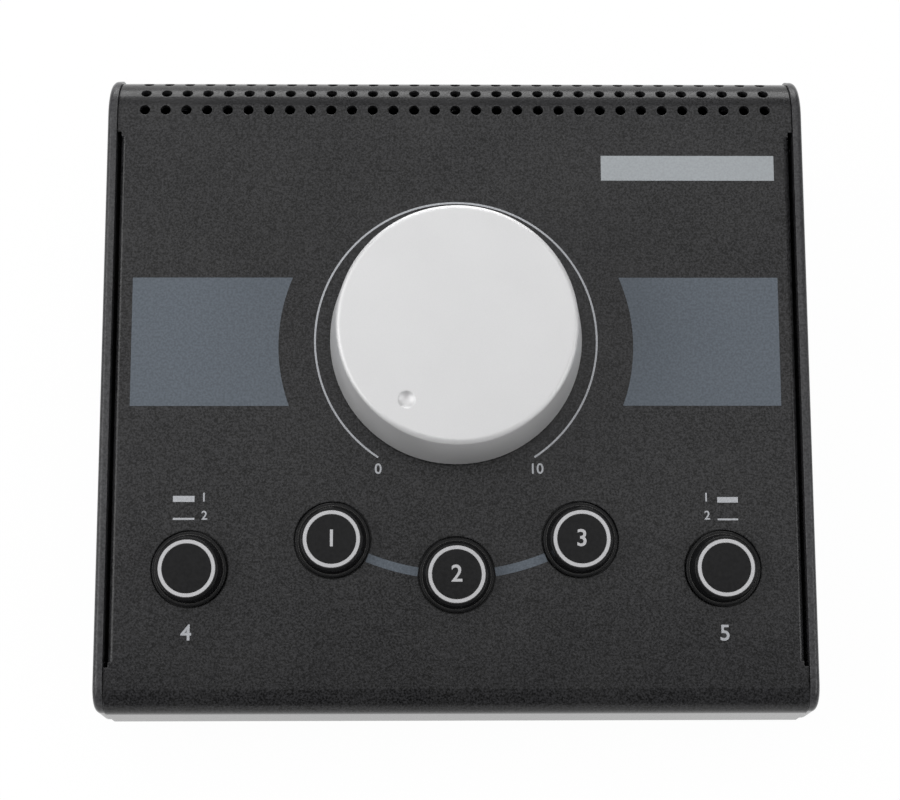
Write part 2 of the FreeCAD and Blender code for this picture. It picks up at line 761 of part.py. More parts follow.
def make_base_tray():
    tray = new_body("base_tray")
    wall = size.sheet_wall
    side_top = tray_bottom + size.tray_side
    inner = cheek_inner - wall
    bend_x = cheek_inner - bend_outside
    bend_z = tray_bottom + bend_outside
    section = new_sketch(tray, "section", "XZ_Plane", z=-tray_back)
    draw_outline(section, [
        (bend_x, tray_bottom),
        (cheek_inner, bend_z, bend_outside, "left"),
        (cheek_inner, side_top),
        (inner, side_top),
        (inner, bend_z),
        (bend_x, tray_top, size.bend_inside, "right"),
        (-bend_x, tray_top),
        (-inner, bend_z, size.bend_inside, "right"),
        (-inner, side_top),
        (-cheek_inner, side_top),
        (-cheek_inner, bend_z),
        (-bend_x, tray_bottom, bend_outside, "left"),
    ])
    pad(tray, section, tray_back - tray_front)

    holes = new_sketch(tray, "holes", "XY_Plane", z=tray_top)
    for y in (lip_screw_front, lip_screw_back):
        for x in screw_sides:
            draw_circle(holes, x, y, tapped_radius)
    pocket(tray, holes, wall * 2)

    side_holes = new_sketch(tray, "side_holes", "YZ_Plane", z=-size.case_width / 2)
    for y in cheek_screw_places():
        draw_circle(side_holes, y, cheek_screw_z, tapped_radius)
    pocket(tray, side_holes, size.case_width, reverse=True)
    return keep(tray)


def cheek_screw_places():
    first = tray_front + size.cheek_screw_inset
    last = tray_back - size.cheek_screw_inset
    return [first, (first + last) / 2, last]


def make_rear_panel():
    panel = new_body("rear_panel")
    wall = size.sheet_wall
    top = rear_roll_z - size.sheet_gap
    bottom = size.case_lift
    profile = new_sketch(panel, "profile", "YZ_Plane")
    draw_outline(profile, [
        (rear_panel_y, top),
        (rear_panel_inner, top),
        (rear_panel_inner, bottom + bend_outside),
        (rear_panel_y - bend_outside, bottom + wall, size.bend_inside, "right"),
        (rear_panel_y - size.lip_depth, bottom + wall),
        (rear_panel_y - size.lip_depth, bottom),
        (rear_panel_y - bend_outside, bottom),
        (rear_panel_y, bottom + bend_outside, bend_outside, "left"),
    ])
    pad(panel, profile, cover_half * 2, side="Symmetric")

    holes = new_sketch(panel, "holes", "XZ_Plane", z=-rear_panel_y)
    for x, z in jack_places():
        draw_circle(holes, x, z, size.bushing_radius + size.bushing_fit)
    draw_circle(holes, zero, jack_middle_z, size.mini_bushing + size.bushing_fit)
    for x in screw_sides:
        draw_circle(holes, x, rear_screw_z, tapped_radius)
    pocket(panel, holes, wall * 2, reverse=True)

    lip_holes = new_sketch(panel, "lip_holes", "XY_Plane", z=bottom + wall)
    for x in screw_sides:
        draw_circle(lip_holes, x, lip_screw_back, through_radius)
    pocket(panel, lip_holes, wall * 2)
    return keep(panel)


def jack_places():
    row = (-jack_far, -size.jack_near, size.jack_near, jack_far)
    return [(x, z) for z in (jack_low_z, jack_high_z) for x in row]


def make_cheek(label, side):
    # The case's side outline, a little proud of the cover above and a little back from it in front.
    cheek = new_body(label)
    put(cheek, cheek_inner * side, zero, zero)
    proud = size.cheek_proud
    corner = size.cheek_corner
    bottom = size.case_lift
    front = front_y + size.cheek_set_back
    back = rear_y + proud
    ridge_z = size.panel_height + (front - knob_y) * rise + proud / up_slope
    reach = size.cheek_front_roll * tangent((90 - size.slope) / 2)
    toe_start, toe_end, nose_start, nose_end = front_corners(size.cheek_set_back, corner, size.cheek_nose)
    outline = new_sketch(cheek, "outline", "YZ_Plane")
    draw_outline(outline, [
        (back - corner, bottom, corner, "right"),
        (toe_start, bottom),
        (*toe_end, corner, "right"),
        nose_start,
        (front, nose_end, size.cheek_nose, "right"),
        (front, ridge_z - reach),
        (front + reach * up_slope, ridge_z + reach * off_slope, size.cheek_front_roll, "right"),
        from_panel(rear_roll_v, proud),
        (back, rear_roll_z, size.rear_roll + proud, "right"),
        (back, bottom + corner),
    ])
    pad(cheek, outline, size.cheek_wall, reverse=side < 0)

    outer_x = size.cheek_wall * side
    round_edges(cheek, lambda edge: lies_at(edge, "X", outer_x), size.cheek_round, "outer_edge")

    holes = new_sketch(cheek, "holes", "YZ_Plane", z=outer_x)
    for y in cheek_screw_places():
        draw_circle(holes, y, cheek_screw_z, through_radius)
    pocket(cheek, holes, size.cheek_wall, reverse=side < 0)
    seat = size.screw_head + size.countersink_gap - through_radius
    bevel_edges(cheek, circle_at(through_radius, "X", outer_x), seat, "countersinks")
    return keep(cheek)


def make_foot(label, x, y):
    foot = new_body(label)
    put(foot, x, y, zero)
    section = new_sketch(foot, "section", "XZ_Plane")
    draw_outline(section, [
        (size.foot_radius, zero),
        (size.foot_radius, tray_bottom),
        (zero, tray_bottom),
        (zero, zero),
    ])
    revolve(foot, section)
    round_edges(foot, circle_at(size.foot_radius, "Z", zero), size.foot_edge, "lower_edge")
    return keep(foot)


# Volume control.

def make_volume_knob():
    knob = new_body("volume_knob")
    put_on_panel(knob, zero, zero, zero)
    bore = size.shaft_radius + size.shaft_fit
    section = new_sketch(knob, "section", "XZ_Plane")
    draw_outline(section, [
        (bore, hub_bore_top),
        (bore, hub_bottom),
        (size.knob_hollow, hub_bottom),
        (size.knob_hollow, size.knob_gap),
        (size.knob_radius, size.knob_gap),
        (size.knob_top_radius, knob_top),
        (zero, knob_top),
        (zero, hub_bore_top),
    ])
    revolve(knob, section)
    round_edges(knob, circle_at(size.knob_top_radius, "Z", knob_top), size.knob_edge, "top_edge")
    round_edges(knob, circle_at(size.knob_radius, "Z", size.knob_gap), size.knob_lower_edge, "lower_edge")

    screw_hole = new_sketch(knob, "screw_hole", "XZ_Plane", **opposite_pointer(zero))
    draw_circle(screw_hole, zero, grub_w, tapped_radius)
    pocket(knob, screw_hole, size.knob_radius + size.knob_top_radius, reverse=True)

    # The pointer dimple is a shallow cap of a sphere.
    ball = (size.dimple_radius * size.dimple_radius / size.dimple_depth + size.dimple_depth) / 2
    dimple = knob.newObject("PartDesign::SubtractiveSphere", "volume_knob_dimple")
    bind(dimple, "Radius", ball)
    dimple.AttachmentSupport = (origin_plane(knob, "XY_Plane"), [""])
    dimple.MapMode = "FlatFace"
    bind(dimple, "AttachmentOffset.Base.x", -size.dimple_place * sine(size.stop_angle))
    bind(dimple, "AttachmentOffset.Base.y", -size.dimple_place * cosine(size.stop_angle))
    bind(dimple, "AttachmentOffset.Base.z", knob_top + ball - size.dimple_depth)
    doc.recompute()
    return keep(knob)


def make_set_screw():
    grub = new_body("knob_set_screw")
    put_on_panel(grub, zero, zero, zero)
    rod = new_sketch(grub, "rod", "XZ_Plane", **opposite_pointer(size.shaft_flat))
    draw_circle(rod, zero, grub_w, size.grub_radius)
    pad(grub, rod, size.grub_length)
    outer_end = size.shaft_flat + size.grub_length
    drive = new_sketch(grub, "drive", "XZ_Plane", **opposite_pointer(outer_end))
    draw_hexagon(drive, zero, grub_w, size.grub_drive)
    pocket(grub, drive, size.grub_length / 3)
    return keep(grub)


def opposite_pointer(reach):
    # A sketch plane square to the line from the pointer through the axis, this far past the axis.
    return {
        "x": reach * sine(size.stop_angle),
        "z": -reach * cosine(size.stop_angle),
        "axis": (0, 1, 0),
        "angle": 180 - size.stop_angle,
    }


def make_pot_shaft():
    shaft = new_body("pot_shaft")
    put_on_panel(shaft, zero, zero, zero)
    top = hub_bore_top - size.shaft_end_gap
    rod = new_sketch(shaft, "rod", "XY_Plane", z=-size.shaft_depth)
    draw_circle(rod, zero, zero, size.shaft_radius)
    pad(shaft, rod, top + size.shaft_depth)
    flat = new_sketch(shaft, "flat", "XY_Plane", z=top, axis=(0, 0, 1), angle=-size.stop_angle)
    draw_box(flat, -size.shaft_radius, size.shaft_radius, size.shaft_flat, size.shaft_radius * 2)
    pocket(shaft, flat, top - hub_bottom)
    return keep(shaft)


def make_pot_housing():
    pot = new_body("pot_housing")
    put_on_panel(pot, zero, zero, zero)
    underside = -size.sheet_wall
    housing = new_sketch(pot, "housing", "XY_Plane", z=underside)
    draw_square(housing, size.pot_width / 2)
    pad(pot, housing, size.board_depth - size.sheet_wall, reverse=True)
    bushing = new_sketch(pot, "bushing", "XY_Plane", z=underside)
    draw_circle(bushing, zero, zero, size.bushing_radius)
    pad(pot, bushing, size.bushing_stand + size.sheet_wall)
    bore = new_sketch(pot, "bore", "XY_Plane", z=size.bushing_stand)
    draw_circle(bore, zero, zero, size.shaft_radius + size.shaft_fit)
    pocket(pot, bore, size.bushing_stand + size.shaft_depth + size.shaft_end_gap)
    return keep(pot)


def make_pot_fixings():
    hole = size.bushing_radius + size.tapped_gap
    disc = cylinder("washer_disc", size.washer_radius, zero, size.washer_height)
    bore = cylinder("washer_bore", hole, -size.washer_height, size.washer_height * 2)
    washer = cut("pot_washer", disc, bore)
    put_on_panel(washer, zero, zero, zero)
    nut = hexagon_ring("pot_nut", size.pot_nut_flats, hole, size.pot_nut_height)
    put_on_panel(nut, zero, zero, size.washer_height)
    keep(washer)
    keep(nut)


# Push buttons.

def make_cap(name, u, v):
    cap = new_body(f"{name}_cap")
    put_on_panel(cap, u, v, zero)
    ring_floor = size.cap_height - size.ring_depth
    roof = ring_floor - size.cap_wall
    skirt_inner = size.cap_top_radius - size.cap_wall
    flange_top = -(size.sheet_wall + size.sheet_gap)
    flange_bottom = flange_top - size.cap_flange_height
    flange_radius = button_hole + size.cap_flange
    section = new_sketch(cap, "section", "XZ_Plane")
    draw_outline(section, [
        (size.stem_radius, stem_bottom),
        (size.stem_radius, roof),
        (skirt_inner, roof),
        (skirt_inner, flange_bottom),
        (flange_radius, flange_bottom),
        (flange_radius, flange_top),
        (size.cap_radius, flange_top),
        (size.cap_radius, size.cap_ledge),
        (size.cap_waist, size.cap_ledge),
        (size.cap_top_radius, size.cap_height),
        (size.ring_outer, size.cap_height),
        (size.ring_outer, ring_floor),
        (size.ring_outer - size.ring_width, ring_floor),
        (size.ring_outer - size.ring_width, size.cap_height),
        (zero, size.cap_height),
        (zero, stem_bottom),
    ])
    revolve(cap, section)
    round_edges(cap, circle_at(size.cap_top_radius, "Z", size.cap_height), size.cap_edge, "top_edge")
    round_edges(cap, circle_at(size.cap_radius, "Z", size.cap_ledge), size.cap_ledge_edge, "ledge_edge")
    socket = new_sketch(cap, "socket", "XY_Plane", z=stem_bottom)
    draw_square(socket, size.plunger_width / 2 + size.socket_fit)
    pocket(cap, socket, size.socket_depth, reverse=True)
    return keep(cap)


def make_ring(name, u, v):
    ring = new_body(f"{name}_ring")
    put_on_panel(ring, u, v, zero)
    inner = size.ring_outer - size.ring_width + size.ring_fit
    outer = size.ring_outer - size.ring_fit
    floor = size.cap_height - size.ring_depth
    top = size.cap_height + size.ring_proud
    section = new_sketch(ring, "section", "XZ_Plane")
    draw_box(section, inner, outer, floor, top)
    revolve(ring, section)
    return keep(ring)


def make_plunger(name, u, v):
    plunger = new_body(f"{name}_plunger")
    put_on_panel(plunger, u, v, zero)
    foot = new_sketch(plunger, "foot", "XY_Plane", z=foot_of_plunger)
    draw_square(foot, size.plunger_foot / 2)
    pad(plunger, foot, size.plunger_foot_height)
    stalk = new_sketch(plunger, "stalk", "XY_Plane", z=foot_of_plunger_top)
    draw_square(stalk, size.plunger_width / 2)
    pad(plunger, stalk, socket_top - foot_of_plunger_top)
    return keep(plunger)


def make_switch(name, u, v):
    switch = new_body(f"{name}_switch")
    put_on_panel(switch, u, v, zero)
    housing = new_sketch(switch, "housing", "XY_Plane", z=board_top)
    draw_square(housing, size.switch_width / 2)
    pad(switch, housing, size.switch_height)
    mouth = new_sketch(switch, "mouth", "XY_Plane", z=switch_top)
    draw_square(mouth, size.plunger_width / 2 + size.plunger_gap)
    pocket(switch, mouth, size.switch_roof)
    chamber = new_sketch(switch, "chamber", "XY_Plane", z=switch_top - size.switch_roof)
    draw_square(chamber, size.plunger_foot / 2 + size.plunger_gap)
    pocket(switch, chamber, size.switch_height - size.switch_roof * 2)
    return keep(switch)


# Boards.

def standoff_places():
    side = board_half - size.standoff_inset
    front = board_front + size.standoff_inset
    back = board_back - size.standoff_inset
    return [(x, v) for v in (front, back) for x in (-side, side)]


def make_control_board():
    board = new_body("control_board")
    put_on_panel(board, zero, zero, zero)
    plate = new_sketch(board, "plate", "XY_Plane", z=board_bottom)
    draw_box(plate, -board_half, board_half, board_front, board_back)
    pad(board, plate, size.board_wall)
    holes = new_sketch(board, "holes", "XY_Plane", z=board_top)
    for u, v in standoff_places():
        draw_circle(holes, u, v, through_radius)
    pocket(board, holes, size.board_wall * 2)
    return keep(board)


def make_standoffs():
    corner = size.standoff_flats / 2 / cosine(as_size(30))
    length = size.board_depth - size.sheet_wall
    things = []
    for number, (u, v) in enumerate(standoff_places(), start=1):
        post = hexagon(f"standoff_{number}_hexagon", corner, zero, length)
        bore = cylinder(f"standoff_{number}_bore", tapped_radius, -size.board_wall, size.standoff_bore_depth)
        standoff = cut(f"standoff_{number}", post, bore)
        put_on_panel(standoff, u, v, board_top)
        things.append(standoff)
    keep(group("board_standoffs", things))


def make_jack_board():
    half = jack_far + size.jack_width / 2 + size.jack_board_margin
    top = jack_high_z + size.jack_body_height / 2 + size.jack_board_margin
    bottom = tray_top + size.jack_board_lift
    board = box("jack_board", -half, half, jack_board_front, jack_board_back, bottom, top)
    keep(board)


def make_ribbon():
    half_width = size.header_width / 2
    half_height = size.header_height / 2
    upper = box(
        "upper_header", -half_width, half_width, -half_height, half_height, -size.header_depth, zero)
    lower = box(
        "lower_header", -half_width, half_width, -half_height, half_height, -size.header_depth, zero)
    upper_header = group("upper_header_placed", [upper])
    lower_header = group("lower_header_placed", [lower])
    put_on_panel(upper_header, zero, size.header_place, board_bottom)
    start_y, start_z = from_panel(size.header_place, board_bottom - size.header_depth)
    level_z = start_z - size.ribbon_drop
    put(lower_header, zero, jack_board_front, level_z, angle=as_size(-90))
    keep(group("ribbon_headers", [upper_header, lower_header]))

    # The cable leaves the upper header square to the control board, bends once and runs
    # level into the lower header.
    end_y = jack_board_front - size.header_depth
    corner_y = start_y + size.ribbon_drop * rise
    tangent_length = size.ribbon_bend * tangent((90 - size.slope) / 2)
    bend_y = corner_y - tangent_length * off_slope
    bend_z = level_z + tangent_length * up_slope
    half = size.ribbon_wall / 2
    across_y = half * up_slope
    across_z = half * off_slope
    cable = new_body("ribbon_cable")
    path = new_sketch(cable, "side", "YZ_Plane")
    draw_outline(path, [
        (start_y - across_y, start_z - across_z),
        (bend_y - across_y, bend_z - across_z),
        (corner_y + tangent_length, level_z - half, size.ribbon_bend + half, "left"),
        (end_y, level_z - half),
        (end_y, level_z + half),
        (corner_y + tangent_length, level_z + half),
        (bend_y + across_y, bend_z + across_z, size.ribbon_bend - half, "right"),
        (start_y + across_y, start_z + across_z),
    ])
    pad(cable, path, size.ribbon_width, side="Symmetric")
    keep(cable)


# Jacks.

def make_jack(label, x, z, width, height, depth, bushing, bore, bore_depth):
    jack = new_body(label)
    put(jack, x, rear_panel_inner, z)
    reach = size.sheet_wall + size.jack_stand
    housing = new_sketch(jack, "housing", "XZ_Plane")
    draw_box(housing, -width / 2, width / 2, -height / 2, height / 2)
    pad(jack, housing, depth)
    tube = new_sketch(jack, "bushing", "XZ_Plane")
    draw_circle(tube, zero, zero, bushing)
    pad(jack, tube, reach, reverse=True)
    mouth = new_sketch(jack, "bore", "XZ_Plane", z=-reach)
    draw_circle(mouth, zero, zero, bore)
    pocket(jack, mouth, bore_depth, reverse=True)
    bevel_edges(jack, circle_at(bushing, "Y", reach), size.mouth_bevel, "rim")
    bevel_edges(jack, circle_at(bore, "Y", reach), size.mouth_bevel, "mouth")
    return keep(jack)


def make_jack_nuts():
    nuts = []
    for number, (x, z) in enumerate(jack_places(), start=1):
        nut = hexagon_ring(
            f"jack_nut_{number}", size.jack_nut_flats, size.bushing_radius + size.tapped_gap,
            size.jack_nut_height)
        put(nut, x, rear_panel_y, z, angle=as_size(-90))
        nuts.append(nut)
    keep(group("jack_nuts", nuts))
    small = hexagon_ring(
        "mini_jack_nut", size.mini_nut_flats, size.mini_bushing + size.tapped_gap, size.jack_nut_height)
    put(small, zero, rear_panel_y, jack_middle_z, angle=as_size(-90))
    keep(small)


# Fasteners.

def make_cheek_screws():
    things = []
    for side in (-1, 1):
        for number, y in enumerate(cheek_screw_places(), start=1):
            word = "left" if side < 0 else "right"
            thing = screw(f"{word}_cheek_screw_{number}", countersunk=True)
            put(thing, size.case_width / 2 * side, y, cheek_screw_z, axis=(0, 1, 0), angle=as_size(90 * side))
            things.append(thing)
    keep(group("cheek_screws", things))


def make_base_screws():
    things = []
    for y in (lip_screw_front, lip_screw_back):
        for x in screw_sides:
            thing = screw(f"base_screw_{len(things) + 1}", countersunk=False)
            put(thing, x, y, size.case_lift - size.screw_head_height, angle=as_size(180))
            things.append(thing)
    keep(group("base_screws", things))


def make_rear_screws():
    things = []
    for number, x in enumerate(screw_sides, start=1):
        thing = screw(f"rear_screw_{number}", countersunk=False)
        put(thing, x, rear_y + size.screw_head_height, rear_screw_z, angle=as_size(-90))
        things.append(thing)
    keep(group("rear_screws", things))


def make_board_screws():
    things = []
    for number, (u, v) in enumerate(standoff_places(), start=1):
        thing = screw(f"board_screw_{number}", countersunk=False)
        put_on_panel(thing, u, v, board_bottom - size.screw_head_height, turned=as_size(180))
        things.append(thing)
    keep(group("board_screws", things))


make_top_cover()
make_base_tray()
make_rear_panel()
make_cheek("left_cheek", -1)
make_cheek("right_cheek", 1)
for side_word, foot_x in (("left", -foot_side), ("right", foot_side)):
    make_foot(f"front_{side_word}_foot", foot_x, toe_y + size.foot_inset)
    make_foot(f"rear_{side_word}_foot", foot_x, rear_y - size.foot_inset)
make_volume_knob()
make_set_screw()
make_pot_shaft()
make_pot_housing()
make_pot_fixings()
for button, (place_u, place_v) in button_places.items():
    make_cap(button, place_u, place_v)
    make_ring(button, place_u, place_v)
    make_plunger(button, place_u, place_v)
    make_switch(button, place_u, place_v)
make_control_board()
make_standoffs()
make_jack_board()
make_ribbon()
for number, (jack_x, jack_z) in enumerate(jack_places(), start=1):
    make_jack(
        f"jack_{number}", jack_x, jack_z, size.jack_width, size.jack_body_height, size.jack_depth,
        size.bushing_radius, size.jack_bore, size.jack_bore_depth)
make_jack(
    "mini_jack", zero, jack_middle_z, size.mini_width, size.mini_width, size.mini_depth,
    size.mini_bushing, size.mini_bore, size.mini_bore_depth)
make_jack_nuts()
make_cheek_screws()
make_base_screws()
make_rear_screws()
make_board_screws()

doc.recompute()
faults = []
for thing in doc.Objects:
    if "Invalid" in thing.State or "Error" in thing.State:
        faults.append(thing.Label)
for thing in subparts:
    if thing.Shape.isNull() or not thing.Shape.isValid():
        faults.append(thing.Label)
if faults:
    raise ValueError(f"failed: {sorted(set(faults))}")
for thing in subparts:
    thing.Shape.exportStep(f"parts/{thing.Label}.step")
print(f"{len(subparts)} sub-parts")
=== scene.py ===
import bmesh
import bpy
import json
import math
from mathutils import Matrix, Vector


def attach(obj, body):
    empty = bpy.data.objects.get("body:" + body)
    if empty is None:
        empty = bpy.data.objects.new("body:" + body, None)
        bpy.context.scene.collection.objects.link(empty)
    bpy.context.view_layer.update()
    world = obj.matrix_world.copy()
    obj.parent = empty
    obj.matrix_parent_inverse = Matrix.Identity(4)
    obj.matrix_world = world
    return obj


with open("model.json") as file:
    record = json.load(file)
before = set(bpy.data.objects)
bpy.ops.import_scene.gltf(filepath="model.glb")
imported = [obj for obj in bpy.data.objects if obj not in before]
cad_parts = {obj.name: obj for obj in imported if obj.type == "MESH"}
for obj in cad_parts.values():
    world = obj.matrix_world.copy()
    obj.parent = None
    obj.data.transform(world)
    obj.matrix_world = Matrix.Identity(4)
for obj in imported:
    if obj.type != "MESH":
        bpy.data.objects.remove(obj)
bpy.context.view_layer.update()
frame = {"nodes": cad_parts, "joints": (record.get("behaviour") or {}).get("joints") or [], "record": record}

mm = 0.001
nodes = frame["nodes"]
scene = bpy.context.scene

# The panel's own frame: x to the right, y up the slope, z out of the panel, from the knob's axis.
volumeTurn = next(joint for joint in frame["joints"] if joint["name"] == "volume_turn")
slope = math.atan2(-volumeTurn["axis"][1], volumeTurn["axis"][2])
panelFrame = Matrix.Translation(volumeTurn["pos_m"]) @ Matrix.Rotation(slope, 4, "X")


# Small helpers for the shader trees. Lengths in the shaders are metres, noise scales are per metre.

def addNode(tree, kind, sockets=None, **settings):
    node = tree.nodes.new("ShaderNode" + kind)
    for setting, value in settings.items():
        setattr(node, setting, value)
    for socket, source in (sockets or {}).items():
        if isinstance(source, bpy.types.NodeSocket):
            tree.links.new(source, node.inputs[socket])
        else:
            node.inputs[socket].default_value = source
    return node


def calc(tree, operation, first, second=0.0):
    return addNode(tree, "Math", {0: first, 1: second}, operation=operation).outputs[0]


def remap(tree, value, lowIn, highIn, lowOut=0.0, highOut=1.0):
    node = addNode(tree, "MapRange", {
        "Value": value, "From Min": lowIn, "From Max": highIn, "To Min": lowOut, "To Max": highOut})
    return node.outputs["Result"]


def mixColour(tree, factor, first, second):
    return addNode(tree, "Mix", {0: factor, 6: first, 7: second}, data_type="RGBA").outputs[2]


def scaleColour(tree, colour, factor):
    return addNode(tree, "VectorMath", {0: colour, "Scale": factor}, operation="SCALE").outputs[0]


def noise(tree, where, scale, detail=2.0, roughness=0.5):
    node = addNode(tree, "TexNoise", {
        "Vector": where, "Scale": scale, "Detail": detail, "Roughness": roughness})
    return node.outputs["Fac"]


def newGroup(name, inputs, outputs):
    tree = bpy.data.node_groups.new(name, "ShaderNodeTree")
    for label, kind, start in inputs:
        socket = tree.interface.new_socket(label, in_out="INPUT", socket_type="NodeSocket" + kind)
        socket.default_value = start
    for label, kind in outputs:
        tree.interface.new_socket(label, in_out="OUTPUT", socket_type="NodeSocket" + kind)
    given = tree.nodes.new("NodeGroupInput").outputs
    result = tree.nodes.new("NodeGroupOutput").inputs
    return tree, given, result


def useGroup(tree, group, sockets):
    node = tree.nodes.new("ShaderNodeGroup")
    node.node_tree = group
    for socket, source in sockets.items():
        if isinstance(source, bpy.types.NodeSocket):
            tree.links.new(source, node.inputs[socket])
        else:
            node.inputs[socket].default_value = source
    return node.outputs


def newMaterial(name, **constants):
    material = bpy.data.materials.new(name)
    material.use_nodes = True
    tree = material.node_tree
    shader = tree.nodes["Principled BSDF"]
    for socket, value in constants.items():
        shader.inputs[socket.replace("_", " ")].default_value = value
    return material, tree, shader


def wire(tree, shader, **sources):
    for socket, source in sources.items():
        tree.links.new(source, shader.inputs[socket.replace("_", " ")])


# Shared effects.

def makePowderCoatGroup():
    # Fine pebbled paint: dark pits between slightly lighter pebbles, and a slow drift of tone.
    tree, given, result = newGroup(
        "powderCoat",
        [("Colour", "Color", (0.04, 0.04, 0.04, 1)), ("Grain Per Metre", "Float", 2600.0),
         ("Contrast", "Float", 0.3), ("Roughness", "Float", 0.5)],
        [("Colour", "Color"), ("Roughness", "Float"), ("Height", "Float")])
    where = addNode(tree, "TexCoord").outputs["Object"]
    pebbles = noise(tree, where, given["Grain Per Metre"], 1.5, 0.5)
    coarse = noise(tree, where, calc(tree, "MULTIPLY", given["Grain Per Metre"], 0.5), 1.0, 0.5)
    grain = calc(tree, "ADD", calc(tree, "MULTIPLY", pebbles, 0.75), calc(tree, "MULTIPLY", coarse, 0.25))
    lightness = remap(tree, grain, 0.37, 0.63, -1.0, 1.0)
    drift = remap(tree, noise(tree, where, 22.0, 2.0, 0.5), 0.3, 0.7, -0.16, 0.16)
    swing = calc(tree, "MULTIPLY", calc(tree, "ADD", lightness, drift), given["Contrast"])
    tree.links.new(scaleColour(tree, given["Colour"], calc(tree, "ADD", swing, 1.0)), result["Colour"])
    rough = calc(tree, "ADD", given["Roughness"], remap(tree, grain, 0.36, 0.62, 0.05, -0.05))
    tree.links.new(rough, result["Roughness"])
    tree.links.new(grain, result["Height"])
    return tree


def makeEdgeWearAndHighlightGroup():
    # Finds the edges by comparing the rounded normal with the true one, and breaks them up. The mask marks
    # worn edges, and on the caps, where it is not broken up, a painted highlight along the rims.
    tree, given, result = newGroup(
        "edgeWearAndHighlight",
        [("Width", "Float", 0.0003), ("Amount", "Float", 0.5), ("Breakup Per Metre", "Float", 700.0)],
        [("Mask", "Float"), ("Normal", "Vector")])
    where = addNode(tree, "TexCoord").outputs["Object"]
    rounded = addNode(tree, "Bevel", {"Radius": given["Width"]}, samples=6).outputs["Normal"]
    flat = addNode(tree, "NewGeometry").outputs["Normal"]
    alike = addNode(tree, "VectorMath", {0: rounded, 1: flat}, operation="DOT_PRODUCT").outputs["Value"]
    edge = remap(tree, alike, 0.995, 0.85)
    patches = remap(tree, noise(tree, where, given["Breakup Per Metre"], 3.0, 0.6), 0.38, 0.62)
    mask = calc(tree, "MULTIPLY", calc(tree, "MULTIPLY", edge, patches), given["Amount"])
    tree.links.new(mask, result["Mask"])
    tree.links.new(rounded, result["Normal"])
    return tree


def makeHandlingGroup():
    # Faint dust and finger marks: a tone mask and a roughness shift.
    tree, given, result = newGroup(
        "handling",
        [("Marks Per Metre", "Float", 60.0), ("Strength", "Float", 0.05)],
        [("Dust", "Float"), ("Roughness Shift", "Float")])
    where = addNode(tree, "TexCoord").outputs["Object"]
    smears = remap(tree, noise(tree, where, given["Marks Per Metre"], 4.0, 0.62), 0.42, 0.7)
    fine = calc(tree, "MULTIPLY", given["Marks Per Metre"], 26.0)
    specks = remap(tree, noise(tree, where, fine, 1.0), 0.7, 0.76)
    cover = calc(tree, "ADD", calc(tree, "MULTIPLY", smears, 0.35), specks)
    tree.links.new(calc(tree, "MULTIPLY", cover, given["Strength"]), result["Dust"])
    tree.links.new(calc(tree, "MULTIPLY", smears, given["Strength"]), result["Roughness Shift"])
    return tree


def makeBlastedMetalGroup():
    # Bead-blasted and anodised: tiny even dimples and a slow cloudiness.
    tree, given, result = newGroup(
        "blastedMetal",
        [("Colour", "Color", (0.8, 0.8, 0.8, 1)), ("Grain Per Metre", "Float", 5200.0),
         ("Contrast", "Float", 0.03), ("Roughness", "Float", 0.4)],
        [("Colour", "Color"), ("Roughness", "Float"), ("Height", "Float")])
    where = addNode(tree, "TexCoord").outputs["Object"]
    grain = noise(tree, where, given["Grain Per Metre"], 1.5, 0.5)
    cloud = noise(tree, where, 55.0, 3.0, 0.55)
    dimples = remap(tree, grain, 0.3, 0.7, -1.0, 1.0)
    swing = calc(tree, "ADD", dimples, remap(tree, cloud, 0.3, 0.7, -0.7, 0.7))
    factor = calc(tree, "ADD", calc(tree, "MULTIPLY", swing, given["Contrast"]), 1.0)
    tree.links.new(scaleColour(tree, given["Colour"], factor), result["Colour"])
    rough = calc(tree, "ADD", given["Roughness"], remap(tree, cloud, 0.3, 0.7, -0.015, 0.015))
    tree.links.new(rough, result["Roughness"])
    tree.links.new(grain, result["Height"])
    return tree


powderCoat = makePowderCoatGroup()
edgeWearAndHighlight = makeEdgeWearAndHighlightGroup()
handling = makeHandlingGroup()
blastedMetal = makeBlastedMetalGroup()
print("stage: shared effects ready")


# Materials.

paintedSteel = {
    "panelPaint": {
        "colour": (0.0145, 0.0145, 0.0153, 1), "grain": 2700.0, "contrast": 0.9, "roughness": 0.25,
        "bump": 0.00002, "wear": 0.35, "dust": 0.03, "specular": 0.25},
    "cheekPaint": {
        "colour": (0.034, 0.034, 0.036, 1), "grain": 2400.0, "contrast": 0.45, "roughness": 0.32,
        "bump": 0.00002, "wear": 0.35, "dust": 0.03, "specular": 0.3},
    "trayPaint": {
        "colour": (0.018, 0.018, 0.019, 1), "grain": 1900.0, "contrast": 0.3, "roughness": 0.6,
        "bump": 0.00004, "wear": 0.4, "dust": 0.05, "specular": 0.35},
}
# What all the paints share; the paint turns glossier where it is seen from the side.
paintShared = {
    "wornTone": (0.16, 0.16, 0.165, 1), "edgeWidth": 0.0003, "bumpStrength": 0.9,
    "sideFacing": (0.5, 0.85), "sideRoughness": 0.4,
}
dustTone = (0.45, 0.44, 0.42, 1)
plainBumpStrength = 0.8


